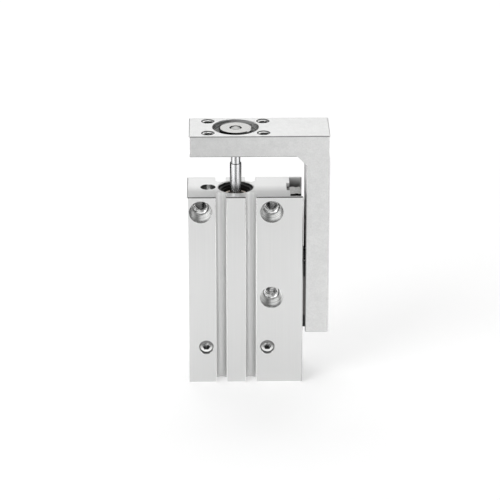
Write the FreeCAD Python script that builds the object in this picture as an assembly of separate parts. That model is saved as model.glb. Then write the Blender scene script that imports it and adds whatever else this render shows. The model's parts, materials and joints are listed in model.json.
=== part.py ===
# Guided pneumatic cylinder: a 10 mm bore cylinder whose rod moves an L-shaped table on a small linear guide.
#
# Millimetres. +Z is up, along the bore. +X points from the body to the table's plate, +Y to the rear.
# The origin is the middle of the whole object's footprint, on its lower end.
# Heights (z) and depths (y) are written in this frame. Widths are first given from the body's left side.

import FreeCAD, Part
import math
import os

os.makedirs("parts", exist_ok=True)

# ---------------------------------------------------------------- driving dimensions

# body; its depth follows from the guide block that runs between the lips of its channel
body_width = 40.0
body_height = 70.0
body_edge_chamfer = 0.3

# lengthways grooves, two in the front face and two in the back face, as deep as the bore's wall allows
groove_width = 3.5
groove_wall = 0.5
groove_floor_rise = 1.0
groove_offset = 5.15
groove_edge_chamfer = 0.25

# bore and the two covers that close it
bore_axis_from_left = 16.8
bore_diameter = 10.0
cover_diameter = 12.0
mouth_chamfer = 0.3
rod_end_recess = 1.0
head_end_recess = 1.2
ring_thickness = 0.8
ring_seat_depth = 0.35
ring_seat_play = 0.05
ring_width = 1.15
ring_opening_angle = 14.0
ring_lug_radius = 1.15
ring_lug_hole_diameter = 1.0
rod_cover_length = 13.3
rod_cover_dish_diameter = 9.0
rod_cover_dish_depth = 0.8
head_cover_length = 10.4
head_cover_dish_diameter = 7.0
head_cover_dish_depth = 1.0
o_ring_section = 1.0
o_ring_side_play = 0.15
o_ring_from_chamber = 2.5
cover_edge_chamfer = 0.3

# rod and its seal
rod_diameter = 4.0
rod_running_clearance = 0.03
rod_seal_diameter = 6.6
rod_seal_height = 2.2
rod_seal_sunk = 0.2
rod_seal_clearance = 0.05
rod_flat_width = 3.2
rod_flat_length = 4.5
rod_stud_diameter = 3.3
rod_stud_sunk = 0.1
rod_stud_chamfer = 0.15
spigot_diameter = 3.0
rivet_head_diameter = 4.6
rivet_head_height = 1.0

# piston and what it carries
piston_length = 14.5
piston_clearance = 0.3
piston_edge_chamfer = 0.4
seal_clearance = 0.05
seal_width = 2.0
seal_groove_radius = 3.2
magnet_width = 4.0
magnet_groove_radius = 3.0
magnet_sunk = 0.2
wear_ring_width = 2.4
wear_ring_thickness = 0.7
piston_end_land = 1.5
bumper_diameter = 7.5
bumper_thickness = 1.2
bumper_end_clearance = 0.3

# body mounting holes: two in line near the top, one below the right-hand one
mount_hole_left = 4.6
mount_hole_pitch_across = 24.5
mount_hole_pitch_down = 32.0
mount_hole_from_top = 5.5
mount_counterbore_diameter = 8.0
mount_counterbore_depth = 4.7
mount_thread_diameter = 5.0
mount_thread_end_depth = 8.2
mount_thread_chamfer = 0.45
mount_through_diameter = 4.3
mount_back_chamfer = 0.3

# shallow hole in the body's top face
top_hole_from_left = 7.2
top_hole_diameter = 5.0
top_hole_depth = 2.0
top_hole_chamfer = 0.15

# air ports, open at the back and plugged at the front, with drilled passages to the two ends of the bore
port_left_from_left = 6.3
port_right_from_left = 27.7
port_height = 13.6
port_thread_diameter = 5.0
port_thread_depth = 5.5
port_thread_chamfer = 0.1
port_link_diameter = 2.5
passage_diameter = 2.0
passage_below_rod_cover = 1.3
passage_plug_diameter = 2.4
passage_plug_length = 2.0
passage_plug_sunk = 0.2
port_plug_length = 4.0
port_plug_sunk = 0.9
port_plug_socket = 2.5
port_plug_socket_depth = 1.9
port_plug_chamfer = 0.35

# guide channel in the body's right side
channel_depth = 4.5
channel_lip = 1.0
channel_lip_chamfer = 0.6
channel_block_clearance = 0.5
rail_seat_depth = 1.1
rail_seat_play = 0.05

# rail
rail_width = 7.0
rail_tall = 5.0
rail_end_inset = 1.4
rail_chamfer = 0.3
race_radius = 0.8
race_height = 3.4
race_offset = 0.25
rail_first_hole = 8.0
rail_hole_pitch = 15.0
rail_last_hole_margin = 5.0
rail_counterbore_depth = 2.3

# guide block
block_width = 17.0
block_steel_length = 14.5
block_above_seat = 1.5
guide_total_height = 8.0
block_rail_clearance = 0.25
block_chamfer = 0.4
block_above_plate_end = 6.2
return_hole_diameter = 1.7
return_hole_from_middle = 6.2
return_hole_height = 3.2
block_hole_pitch_across = 12.0
block_hole_pitch_along = 8.0
end_cap_length = 4.0
end_cap_inset = 0.2
end_cap_chamfer = 0.8
end_cap_rail_clearance = 0.3
end_seal_thickness = 0.5
end_seal_inset = 0.3
end_seal_rail_clearance = 0.1
end_screw_diameter = 1.4
end_screw_head_diameter = 2.4
end_screw_head_height = 0.9
end_screw_socket = 0.9
end_screw_socket_depth = 0.5
end_screw_in_block = 1.8
end_screw_from_middle = 5.4
end_screw_from_outer = 1.7
ball_diameter = 1.5
ball_pitch = 3.0

# small screws of the guide, size M2
screw_diameter = 2.0
screw_head_diameter = 3.8
screw_head_height = 2.0
screw_head_chamfer = 0.2
screw_socket = 1.5
screw_socket_depth = 1.0
screw_hole_diameter = 2.4
screw_counterbore_diameter = 4.2
rail_screw_length = 6.0
block_screw_length = 6.0
block_screw_in_block = 2.5
screw_hole_end_room = 0.4

# table: arm across the top, plate down the right side
slide_gap = 0.85
plate_thickness = 8.15
plate_height = 73.0
arm_thickness = 7.5
arm_gap = 14.5
arm_gap_retracted = 2.5
arm_left_inset = 0.8
table_side_inset = 0.3
table_corner_chamfer = 3.0
table_edge_chamfer = 0.3
block_pocket_play = 0.05
block_pocket_end_room = 0.3
block_pocket_run_out = 17.0

# floating joint between table and rod
joint_counterbore_diameter = 16.0
joint_counterbore_depth = 4.0
joint_hole_diameter = 7.4
bushing_flange_diameter = 11.2
bushing_hub_diameter = 6.8
bushing_sunk = 0.2
bushing_end_play = 0.05
bushing_centre_recess_diameter = 4.2
bushing_centre_recess_depth = 0.5
bushing_edge_chamfer = 0.3
washer_diameter = 9.0
washer_thickness = 1.0

# tapped holes in the table, size M4
table_thread_diameter = 4.0
table_thread_chamfer = 0.3
top_hole_pitch_x = 19.0
top_hole_pitch_y = 12.0
side_hole_pitch_y = 12.0
side_hole_pitch_z = 20.0
side_hole_depth = 6.0
side_holes_from_top = 26.0

# how far a cutting tool reaches past the face that it opens
overshoot = 1.0
drill_point_angle = 118.0
# two points closer than this are the same corner
same_place = 0.001

# ---------------------------------------------------------------- derived places

V = FreeCAD.Vector
UP = V(0, 0, 1)

overall_width = body_width + slide_gap + plate_thickness
channel_width = block_width + 2 * channel_block_clearance
body_depth = channel_width + 2 * channel_lip
table_depth = body_depth - 2 * table_side_inset
left = -overall_width / 2
right = left + body_width
front = -body_depth / 2
back = body_depth / 2

bore_x = left + bore_axis_from_left
bore_radius = bore_diameter / 2
cover_radius = cover_diameter / 2
ring_seat_radius = cover_radius + ring_seat_depth
rod_radius = rod_diameter / 2

# The groove's round floor stands groove_wall from the ring's seat, on the line through both arcs' middles.
groove_floor_radius = (groove_width ** 2 / 4 + groove_floor_rise ** 2) / (2 * groove_floor_rise)
floor_middle_from_bore = ring_seat_radius + groove_wall + groove_floor_radius
floor_middle_y = math.sqrt(floor_middle_from_bore ** 2 - groove_offset ** 2)
groove_depth = back - floor_middle_y + groove_floor_radius

rod_cover_top = body_height - rod_end_recess - ring_thickness
dish_floor = rod_cover_top - rod_cover_dish_depth
chamber_top = rod_cover_top - rod_cover_length
head_cover_bottom = head_end_recess + ring_thickness
chamber_bottom = head_cover_bottom + head_cover_length
stroke = chamber_top - chamber_bottom - piston_length - 2 * (bumper_thickness + bumper_end_clearance)

travel_down = arm_gap - arm_gap_retracted
piston_bottom = chamber_bottom + bumper_end_clearance + bumper_thickness + travel_down
piston_top = piston_bottom + piston_length

arm_bottom = body_height + arm_gap
table_top = arm_bottom + arm_thickness
plate_inner = right + slide_gap
plate_outer = plate_inner + plate_thickness
plate_bottom = table_top - plate_height

channel_floor = right - channel_depth
rail_base = channel_floor - rail_seat_depth
rail_top = rail_base + rail_tall
rail_bottom_end = rail_end_inset
rail_top_end = body_height - rail_end_inset
race_x = rail_base + race_height
race_y = rail_width / 2 + race_offset

block_inner = rail_base + block_above_seat
block_outer = rail_base + guide_total_height
block_bottom = plate_bottom + block_above_plate_end
block_top = block_bottom + block_steel_length
block_middle = (block_bottom + block_top) / 2
end_part_length = end_cap_length + end_seal_thickness

web_top = table_top - joint_counterbore_depth
flange_bottom = web_top + bushing_end_play
washer_top = arm_bottom - bushing_end_play
rod_shoulder = washer_top - washer_thickness

port_xs = (left + port_left_from_left, left + port_right_from_left)
upper_passage_height = chamber_top - passage_below_rod_cover


# ---------------------------------------------------------------- shape helpers

def box(x_low, x_high, y_low, y_high, z_low, z_high):
    return Part.makeBox(x_high - x_low, y_high - y_low, z_high - z_low, V(x_low, y_low, z_low))


def placed(shape, origin, direction):
    """A shape modelled along +Z, moved so that it stands at origin and points along direction."""
    moved = shape.copy()
    moved.Placement = FreeCAD.Placement(origin, FreeCAD.Rotation(UP, direction))
    return moved


def turned(outline, origin=V(0, 0, 0), direction=UP):
    """A solid of revolution from (radius, height) points."""
    corners = [V(radius, 0, height) for radius, height in outline]
    section = Part.Face(Part.makePolygon(corners + corners[:1]))
    return placed(section.revolve(V(0, 0, 0), UP, 360), origin, direction)


def on_bore_axis(outline):
    return turned(outline, V(bore_x, 0, 0))


def prism(corners, low, high, direction=UP):
    """A straight prism over corners, which lie in the plane through the origin across direction."""
    base = Part.Face(Part.makePolygon(corners + corners[:1]))
    base.translate(direction * low)
    return base.extrude(direction * (high - low))


def hexagon(across_flats, low, high):
    reach = across_flats / 2 / math.cos(math.radians(30))
    angles = [math.radians(60 * step) for step in range(6)]
    corners = [V(reach * math.cos(angle), reach * math.sin(angle), 0) for angle in angles]
    return prism(corners, low, high)


def ring(inner_radius, outer_radius, low, high):
    return on_bore_axis([
        (inner_radius, low), (outer_radius, low), (outer_radius, high), (inner_radius, high),
    ])


def flat_hole(radius, depth, chamfer=0):
    """Outline of a flat-bottomed hole that runs down from height 0, with a chamfered mouth if it has one."""
    return [
        (0, overshoot), (radius + chamfer, overshoot), (radius + chamfer, 0),
        (radius, -chamfer), (radius, -depth), (0, -depth),
    ]


def drilled_hole(radius, depth, chamfer):
    """The same with the conical end that a drill leaves below its depth."""
    point = radius / math.tan(math.radians(drill_point_angle / 2))
    return flat_hole(radius, depth, chamfer)[:-1] + [(0, -depth - point)]


def both_faces(half_outline, depth):
    """Mirror a stepped hole's outline, given from one face, to the opposite face at depth."""
    mirrored = [(radius, depth - height) for radius, height in reversed(half_outline)]
    return half_outline + mirrored


def save(name, shape):
    solids = shape.Solids
    result = solids[0] if len(solids) == 1 else Part.makeCompound(solids)
    result.exportStep("parts/" + name + ".step")
    print(name, len(solids), "solid(s)", round(shape.Volume, 2), "mm3")


# ---------------------------------------------------------------- body

def lengthways_groove():
    """Cutting tool for one groove: straight sides, a shallow round floor and chamfered edges."""
    half = groove_width / 2
    wide = half + groove_edge_chamfer
    side_depth = groove_depth - groove_floor_rise
    left_side = [
        V(wide, -overshoot, 0), V(-wide, -overshoot, 0), V(-wide, 0, 0),
        V(-half, groove_edge_chamfer, 0), V(-half, side_depth, 0),
    ]
    right_side = [
        V(half, side_depth, 0), V(half, groove_edge_chamfer, 0), V(wide, 0, 0), V(wide, -overshoot, 0),
    ]
    floor = Part.Arc(left_side[-1], V(0, groove_depth, 0), right_side[0]).toShape()
    wire = Part.Wire([Part.makePolygon(left_side), floor, Part.makePolygon(right_side)])
    return Part.Face(wire).extrude(V(0, 0, body_height + 2 * overshoot))


def grooves():
    tools = []
    for side in (-1, 1):
        for offset in (-groove_offset, groove_offset):
            tool = lengthways_groove()
            if side > 0:
                tool.rotate(V(0, 0, 0), UP, 180)
            tool.translate(V(bore_x + offset, side * body_depth / 2, -overshoot))
            tools.append(tool)
    return tools


def stepped_bore():
    """Cutting tool for the bore, the seats of both covers and the grooves of their retaining rings."""
    wide = cover_radius + mouth_chamfer
    seat = ring_seat_radius
    lower_ring = head_end_recess - ring_seat_play
    upper_ring = body_height - rod_end_recess + ring_seat_play
    return on_bore_axis([
        (0, -overshoot), (wide, -overshoot), (wide, 0), (cover_radius, mouth_chamfer),
        (cover_radius, lower_ring), (seat, lower_ring), (seat, head_cover_bottom),
        (cover_radius, head_cover_bottom), (cover_radius, chamber_bottom),
        (bore_radius, chamber_bottom), (bore_radius, chamber_top),
        (cover_radius, chamber_top), (cover_radius, rod_cover_top), (seat, rod_cover_top),
        (seat, upper_ring), (cover_radius, upper_ring), (cover_radius, body_height - mouth_chamfer),
        (wide, body_height), (wide, body_height + overshoot), (0, body_height + overshoot),
    ])


def mounting_holes():
    """Tools for a counterbore in the front face, a thread in its floor and a clearance hole to the back."""
    counterbore = mount_counterbore_diameter / 2
    thread = mount_thread_diameter / 2
    through = mount_through_diameter / 2
    back_mouth = through + mount_back_chamfer
    outline = [
        (0, -overshoot), (counterbore, -overshoot), (counterbore, mount_counterbore_depth),
        (thread + mount_thread_chamfer, mount_counterbore_depth),
        (thread, mount_counterbore_depth + mount_thread_chamfer),
        (thread, mount_thread_end_depth), (through, mount_thread_end_depth),
        (through, body_depth - mount_back_chamfer), (back_mouth, body_depth),
        (back_mouth, body_depth + overshoot), (0, body_depth + overshoot),
    ]
    x_left = left + mount_hole_left
    x_right = x_left + mount_hole_pitch_across
    z_top = body_height - mount_hole_from_top
    places = [(x_left, z_top), (x_right, z_top), (x_right, z_top - mount_hole_pitch_down)]
    return [turned(outline, V(x, front, z), V(0, 1, 0)) for x, z in places]


def port_holes():
    thread = port_thread_diameter / 2
    half = [
        (0, -overshoot), (thread + port_thread_chamfer, -overshoot), (thread + port_thread_chamfer, 0),
        (thread, port_thread_chamfer), (thread, port_thread_depth),
        (port_link_diameter / 2, port_thread_depth),
    ]
    outline = both_faces(half, body_depth)
    return [turned(outline, V(x, front, port_height), V(0, 1, 0)) for x in port_xs]


def passage_starts():
    """Where each air passage is drilled from, which way, and how deep."""
    side_depth_left = bore_x - left
    side_depth_right = rail_base - bore_x
    return [
        (V(port_xs[0], 0, 0), V(0, 0, 1), upper_passage_height),
        (V(left, 0, upper_passage_height), V(1, 0, 0), side_depth_left),
        (V(rail_base, 0, port_height), V(-1, 0, 0), side_depth_right),
    ]


def air_passages():
    radius = passage_diameter / 2
    plug = passage_plug_diameter / 2
    plug_end = passage_plug_sunk + passage_plug_length
    tools = []
    for start, direction, depth in passage_starts():
        outline = [
            (0, -overshoot), (plug, -overshoot), (plug, plug_end),
            (radius, plug_end), (radius, depth), (0, depth),
        ]
        tools.append(turned(outline, start, direction))
    return tools


def guide_channel():
    """Cutting tool for the channel, with chamfered lips, and the rail's seat in its floor."""
    half = channel_width / 2
    wide = half + channel_lip_chamfer
    corners = [
        V(channel_floor, -half, 0), V(right - channel_lip_chamfer, -half, 0), V(right, -wide, 0),
        V(right + overshoot, -wide, 0), V(right + overshoot, wide, 0), V(right, wide, 0),
        V(right - channel_lip_chamfer, half, 0), V(channel_floor, half, 0),
    ]
    channel = prism(corners, -overshoot, body_height + overshoot)
    seat_half = rail_width / 2 + rail_seat_play
    seat = box(rail_base, right, -seat_half, seat_half, -overshoot, body_height + overshoot)
    return [channel, seat]


def rail_hole_heights():
    usable = rail_top_end - rail_bottom_end - rail_first_hole - rail_last_hole_margin
    count = int(usable / rail_hole_pitch) + 1
    return [rail_bottom_end + rail_first_hole + rail_hole_pitch * step for step in range(count)]


def rail_screw_seat():
    return rail_top - rail_counterbore_depth


def rail_tapped_holes():
    depth = rail_screw_length - (rail_screw_seat() - rail_base) + screw_hole_end_room
    outline = flat_hole(screw_diameter / 2, depth)
    return [turned(outline, V(rail_base, 0, z), V(1, 0, 0)) for z in rail_hole_heights()]


def top_hole():
    outline = flat_hole(top_hole_diameter / 2, top_hole_depth, top_hole_chamfer)
    return turned(outline, V(left + top_hole_from_left, 0, body_height))


def cylinder_body():
    blank = box(left, right, front, back, 0, body_height)
    blank = blank.makeChamfer(body_edge_chamfer, blank.Edges)
    tools = grooves() + [stepped_bore(), top_hole()] + mounting_holes() + port_holes()
    tools += air_passages() + guide_channel() + rail_tapped_holes()
    for tool in tools:
        blank = blank.cut(tool)
    return blank


# ---------------------------------------------------------------- plugs in the body

def port_plugs():
    radius = port_thread_diameter / 2
    outline = [
        (0, 0), (radius - port_plug_chamfer, 0), (radius, port_plug_chamfer),
        (radius, port_plug_length - port_plug_chamfer), (radius - port_plug_chamfer, port_plug_length),
        (0, port_plug_length),
    ]
    plug = turned(outline).cut(hexagon(port_plug_socket, -overshoot, port_plug_socket_depth))
    starts = [V(x, front + port_plug_sunk, port_height) for x in port_xs]
    return Part.makeCompound([placed(plug, start, V(0, 1, 0)) for start in starts])


def passage_plugs():
    radius = passage_plug_diameter / 2
    end = passage_plug_sunk + passage_plug_length
    outline = [(0, passage_plug_sunk), (radius, passage_plug_sunk), (radius, end), (0, end)]
    return Part.makeCompound([turned(outline, start, way) for start, way, depth in passage_starts()])


# ---------------------------------------------------------------- covers, seals and retaining rings

def o_ring(height):
    """O-ring in its fitted shape: an eight-sided section, flat where groove and body squeeze it."""
    flat = o_ring_section / 2
    corner = flat / math.cos(math.radians(22.5))
    middle = cover_radius - flat
    angles = [math.radians(22.5 + 45 * step) for step in range(8)]
    return on_bore_axis([
        (middle + corner * math.cos(angle), height + corner * math.sin(angle)) for angle in angles])


def o_ring_groove(height):
    half = o_ring_section / 2 + o_ring_side_play
    return ring(cover_radius - o_ring_section, cover_radius + overshoot, height - half, height + half)


rod_o_ring_height = chamber_top + o_ring_from_chamber
head_o_ring_height = chamber_bottom - o_ring_from_chamber


def rod_cover():
    bore = rod_radius + rod_running_clearance
    gland = rod_seal_diameter / 2
    gland_floor = dish_floor - rod_seal_sunk - rod_seal_height
    dish = rod_cover_dish_diameter / 2
    edge = cover_radius - cover_edge_chamfer
    cover = on_bore_axis([
        (bore, chamber_top), (edge, chamber_top), (cover_radius, chamber_top + cover_edge_chamfer),
        (cover_radius, rod_cover_top - cover_edge_chamfer), (edge, rod_cover_top),
        (dish, rod_cover_top), (dish, dish_floor),
        (gland, dish_floor), (gland, gland_floor), (bore, gland_floor),
    ])
    return cover.cut(o_ring_groove(rod_o_ring_height))


def rod_seal():
    top = dish_floor - rod_seal_sunk
    lip = rod_radius + rod_seal_clearance
    middle = (lip + rod_seal_diameter / 2) / 2
    dip = rod_seal_height / 4
    return on_bore_axis([
        (lip, top - rod_seal_height), (rod_seal_diameter / 2, top - rod_seal_height),
        (rod_seal_diameter / 2, top), (middle, top - dip), (lip, top),
    ])


def head_cover():
    edge = cover_radius - cover_edge_chamfer
    dish = head_cover_dish_diameter / 2
    dish_roof = head_cover_bottom + head_cover_dish_depth
    cover = on_bore_axis([
        (0, dish_roof), (dish, dish_roof), (dish, head_cover_bottom), (edge, head_cover_bottom),
        (cover_radius, head_cover_bottom + cover_edge_chamfer),
        (cover_radius, chamber_bottom - cover_edge_chamfer),
        (edge, chamber_bottom), (0, chamber_bottom),
    ])
    return cover.cut(o_ring_groove(head_o_ring_height))


def retaining_ring(low):
    """Open spring ring with two drilled lugs, which stands in its groove in the body."""
    outer = ring_seat_radius - ring_seat_play
    high = low + ring_thickness
    lug_middle = outer - ring_width
    half_angle = math.radians(ring_opening_angle)
    reach = cover_diameter
    half_opening = reach * math.tan(half_angle)
    wedge = prism(
        [V(0, 0, 0), V(-half_opening, -reach, 0), V(half_opening, -reach, 0)],
        low - overshoot, high + overshoot,
    )
    wedge.translate(V(bore_x, 0, 0))
    shape = ring(outer - ring_width, outer, low, high).cut(wedge)
    lug_angle = half_angle + math.asin(ring_lug_radius / lug_middle)
    for side in (-1, 1):
        x = bore_x + side * lug_middle * math.sin(lug_angle)
        y = -lug_middle * math.cos(lug_angle)
        lug = Part.makeCylinder(ring_lug_radius, ring_thickness, V(x, y, low))
        eye = Part.makeCylinder(ring_lug_hole_diameter / 2, ring_thickness, V(x, y, low))
        shape = shape.fuse(lug).cut(eye)
    inside_groove = Part.makeCylinder(outer, ring_thickness, V(bore_x, 0, low))
    return shape.common(inside_groove).removeSplitter()


# ---------------------------------------------------------------- piston group

def piston_rod():
    stud = rod_stud_diameter / 2
    stud_top = table_top - bushing_sunk - rod_stud_sunk
    spigot = spigot_diameter / 2
    rivet = rivet_head_diameter / 2
    rod = on_bore_axis([
        (0, piston_bottom), (rivet, piston_bottom), (rivet, piston_bottom + rivet_head_height),
        (spigot, piston_bottom + rivet_head_height), (spigot, piston_top),
        (rod_radius, piston_top), (rod_radius, rod_shoulder), (stud, rod_shoulder),
        (stud, stud_top - rod_stud_chamfer), (stud - rod_stud_chamfer, stud_top), (0, stud_top),
    ])
    for side in (-1, 1):
        near = side * rod_flat_width / 2
        far = side * rod_diameter
        low, high = min(near, far), max(near, far)
        flat_end = rod_shoulder - rod_flat_length
        rod = rod.cut(box(bore_x + low, bore_x + high, -rod_diameter, rod_diameter, flat_end, rod_shoulder))
    return rod


def piston_stations():
    """Low ends of the seal, magnet and wear ring, spaced evenly between the piston's end lands."""
    free = piston_length - 2 * piston_end_land - seal_width - magnet_width - wear_ring_width
    wear_low = piston_bottom + piston_end_land
    magnet_low = wear_low + wear_ring_width + free / 2
    seal_low = magnet_low + magnet_width + free / 2
    return seal_low, magnet_low, wear_low


def wear_ring_inner_radius():
    return bore_radius - seal_clearance - wear_ring_thickness


def piston():
    radius = bore_radius - piston_clearance
    edge = radius - piston_edge_chamfer
    spigot = spigot_diameter / 2
    rivet = rivet_head_diameter / 2
    shape = on_bore_axis([
        (spigot, piston_bottom + rivet_head_height), (rivet, piston_bottom + rivet_head_height),
        (rivet, piston_bottom), (edge, piston_bottom), (radius, piston_bottom + piston_edge_chamfer),
        (radius, piston_top - piston_edge_chamfer), (edge, piston_top), (spigot, piston_top),
    ])
    seal_low, magnet_low, wear_low = piston_stations()
    shape = shape.cut(ring(seal_groove_radius, bore_radius, seal_low, seal_low + seal_width))
    shape = shape.cut(ring(magnet_groove_radius, bore_radius, magnet_low, magnet_low + magnet_width))
    return shape.cut(ring(wear_ring_inner_radius(), bore_radius, wear_low, wear_low + wear_ring_width))


def piston_seal():
    low = piston_stations()[0]
    high = low + seal_width
    lip = bore_radius - seal_clearance
    waist = lip - seal_width / 4
    return on_bore_axis([
        (seal_groove_radius, low), (lip, low), (waist, (low + high) / 2),
        (lip, high), (seal_groove_radius, high),
    ])


def piston_magnet():
    low = piston_stations()[1]
    return ring(magnet_groove_radius, bore_radius - piston_clearance - magnet_sunk, low, low + magnet_width)


def piston_wear_ring():
    low = piston_stations()[2]
    return ring(wear_ring_inner_radius(), bore_radius - seal_clearance, low, low + wear_ring_width)


def rod_side_bumper():
    return ring(rod_radius, bumper_diameter / 2, piston_top, piston_top + bumper_thickness)


def head_side_bumper():
    return Part.makeCylinder(
        bumper_diameter / 2, bumper_thickness, V(bore_x, 0, piston_bottom - bumper_thickness))


# ---------------------------------------------------------------- floating joint

def floating_bushing():
    """Flanged bushing on the rod's stud. It has side play in the table, so that rod and guide don't bind."""
    stud = rod_stud_diameter / 2
    hub = bushing_hub_diameter / 2
    flange = bushing_flange_diameter / 2
    top = table_top - bushing_sunk
    recess = bushing_centre_recess_diameter / 2
    recess_floor = top - bushing_centre_recess_depth
    return on_bore_axis([
        (stud, washer_top), (hub, washer_top), (hub, flange_bottom), (flange, flange_bottom),
        (flange, top - bushing_edge_chamfer), (flange - bushing_edge_chamfer, top),
        (recess, top), (recess, recess_floor), (stud, recess_floor),
    ])


def rod_washer():
    return ring(rod_stud_diameter / 2, washer_diameter / 2, rod_shoulder, washer_top)


# ---------------------------------------------------------------- linear guide

def race_tools(low, high):
    """Two round grooves, one each side of the rail, in which the balls run."""
    length = high - low
    return [Part.makeCylinder(race_radius, length, V(race_x, side * race_y, low)) for side in (-1, 1)]


def screw_recess(seat_x, y, z, grip, head_room):
    """Tool along +X for a cap screw: a clearance hole below the head's seat and a counterbore above it."""
    hole = screw_hole_diameter / 2
    head = screw_counterbore_diameter / 2
    reach = head_room + overshoot
    outline = [(0, -grip), (hole, -grip), (hole, 0), (head, 0), (head, reach), (0, reach)]
    return turned(outline, V(seat_x, y, z), V(1, 0, 0))


def guide_rail():
    half = rail_width / 2
    corners = [
        V(rail_base, -half, 0), V(rail_top - rail_chamfer, -half, 0), V(rail_top, rail_chamfer - half, 0),
        V(rail_top, half - rail_chamfer, 0), V(rail_top - rail_chamfer, half, 0), V(rail_base, half, 0),
    ]
    rail = prism(corners, rail_bottom_end, rail_top_end)
    for tool in race_tools(rail_bottom_end, rail_top_end):
        rail = rail.cut(tool)
    for z in rail_hole_heights():
        rail = rail.cut(screw_recess(rail_screw_seat(), 0, z, rail_tall, rail_counterbore_depth))
    return rail


def socket_screw(length):
    """M2 cap screw along +Z, with the underside of its head at height 0."""
    shank = screw_diameter / 2
    head = screw_head_diameter / 2
    outline = [
        (0, -length), (shank, -length), (shank, 0), (head, 0),
        (head, screw_head_height - screw_head_chamfer),
        (head - screw_head_chamfer, screw_head_height), (0, screw_head_height),
    ]
    socket_floor = screw_head_height - screw_socket_depth
    return turned(outline).cut(hexagon(screw_socket, socket_floor, screw_head_height + overshoot))


def rail_screws():
    screw = socket_screw(rail_screw_length)
    starts = [V(rail_screw_seat(), 0, z) for z in rail_hole_heights()]
    return Part.makeCompound([placed(screw, start, V(1, 0, 0)) for start in starts])


def saddle(inset, chamfer, rail_clearance, low, high):
    """The section shared by block, end caps and end seals: a bridge over the rail, from low to high."""
    half = block_width / 2 - inset
    inner = block_inner + inset
    outer = block_outer - inset
    gap = rail_width / 2 + rail_clearance
    roof = rail_top + rail_clearance
    corners = [
        V(inner, -gap, 0), V(inner, -half, 0), V(outer - chamfer, -half, 0), V(outer, chamfer - half, 0),
        V(outer, half - chamfer, 0), V(outer - chamfer, half, 0), V(inner, half, 0), V(inner, gap, 0),
        V(roof, gap, 0), V(roof, -gap, 0),
    ]
    return prism(corners, low, high)


def block_screw_places():
    ys = (-block_hole_pitch_across / 2, block_hole_pitch_across / 2)
    zs = (block_middle - block_hole_pitch_along / 2, block_middle + block_hole_pitch_along / 2)
    return [(y, z) for y in ys for z in zs]


def guide_block():
    block = saddle(0, block_chamfer, block_rail_clearance, block_bottom, block_top)
    for tool in race_tools(block_bottom, block_top):
        block = block.cut(tool)
    for side in (-1, 1):
        start = V(rail_base + return_hole_height, side * return_hole_from_middle, block_bottom)
        block = block.cut(Part.makeCylinder(return_hole_diameter / 2, block_steel_length, start))
    outline = flat_hole(screw_diameter / 2, block_screw_in_block)
    for y, z in block_screw_places():
        block = block.cut(turned(outline, V(block_outer, y, z), V(1, 0, 0)))
    return drilled_for_end_screws(block)


def end_screw_places():
    """Start on the outside of each end seal, and the way into the block, for every end screw."""
    x = block_outer - end_screw_from_outer
    places = []
    for side in (-1, 1):
        y = side * end_screw_from_middle
        places.append((V(x, y, block_bottom - end_part_length), V(0, 0, 1)))
        places.append((V(x, y, block_top + end_part_length), V(0, 0, -1)))
    return places


def end_screw_holes():
    radius = end_screw_diameter / 2
    depth = end_part_length + end_screw_in_block
    return [turned(flat_hole(radius, depth), start, -way) for start, way in end_screw_places()]


def end_screws():
    """Small socket screws that hold seal and cap against each end of the block."""
    shank = end_screw_diameter / 2
    head = end_screw_head_diameter / 2
    depth = end_part_length + end_screw_in_block
    screw = turned([
        (0, -depth), (shank, -depth), (shank, 0),
        (head, 0), (head, end_screw_head_height), (0, end_screw_head_height),
    ])
    socket_floor = end_screw_head_height - end_screw_socket_depth
    screw = screw.cut(hexagon(end_screw_socket, socket_floor, end_screw_head_height + overshoot))
    return Part.makeCompound([placed(screw, start, -way) for start, way in end_screw_places()])


def drilled_for_end_screws(shape):
    for tool in end_screw_holes():
        shape = shape.cut(tool)
    return shape


def block_end_cap(low):
    return drilled_for_end_screws(
        saddle(end_cap_inset, end_cap_chamfer, end_cap_rail_clearance, low, low + end_cap_length))


def block_end_seals():
    seals = []
    for low in (block_bottom - end_part_length, block_top + end_cap_length):
        high = low + end_seal_thickness
        plate = saddle(end_seal_inset, end_cap_chamfer, end_seal_rail_clearance, low, high)
        seals.append(drilled_for_end_screws(plate))
    return Part.makeCompound(seals)


def guide_balls():
    count = int(block_steel_length / ball_pitch)
    first = block_middle - ball_pitch * (count - 1) / 2
    balls = []
    for side in (-1, 1):
        for step in range(count):
            centre = V(race_x, side * race_y, first + ball_pitch * step)
            balls.append(Part.makeSphere(ball_diameter / 2, centre))
    return Part.makeCompound(balls)


def block_screw_seat():
    return block_outer + block_screw_length - block_screw_in_block


def block_screws():
    screw = socket_screw(block_screw_length)
    starts = [V(block_screw_seat(), y, z) for y, z in block_screw_places()]
    return Part.makeCompound([placed(screw, start, V(1, 0, 0)) for start in starts])


# ---------------------------------------------------------------- table

def table_blank():
    """Arm and plate as one angle, with a chamfered inner corner and all outer edges broken."""
    arm_left = left + arm_left_inset
    outline = [
        (arm_left, arm_bottom), (plate_inner - table_corner_chamfer, arm_bottom),
        (plate_inner, arm_bottom - table_corner_chamfer), (plate_inner, plate_bottom),
        (plate_outer, plate_bottom), (plate_outer, table_top), (arm_left, table_top),
    ]
    half = table_depth / 2
    face = Part.Face(Part.makePolygon([V(x, -half, z) for x, z in outline + outline[:1]]))
    blank = face.extrude(V(0, table_depth, 0))
    inner = [V(x, 0, z) for x, z in outline[1:3]]
    edges = []
    for edge in blank.Edges:
        ends = [vertex.Point for vertex in edge.Vertexes]
        gaps = [min(V(end.x, 0, end.z).distanceToPoint(corner) for corner in inner) for end in ends]
        if max(gaps) > same_place:
            edges.append(edge)
    return blank.makeChamfer(table_edge_chamfer, edges)


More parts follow.
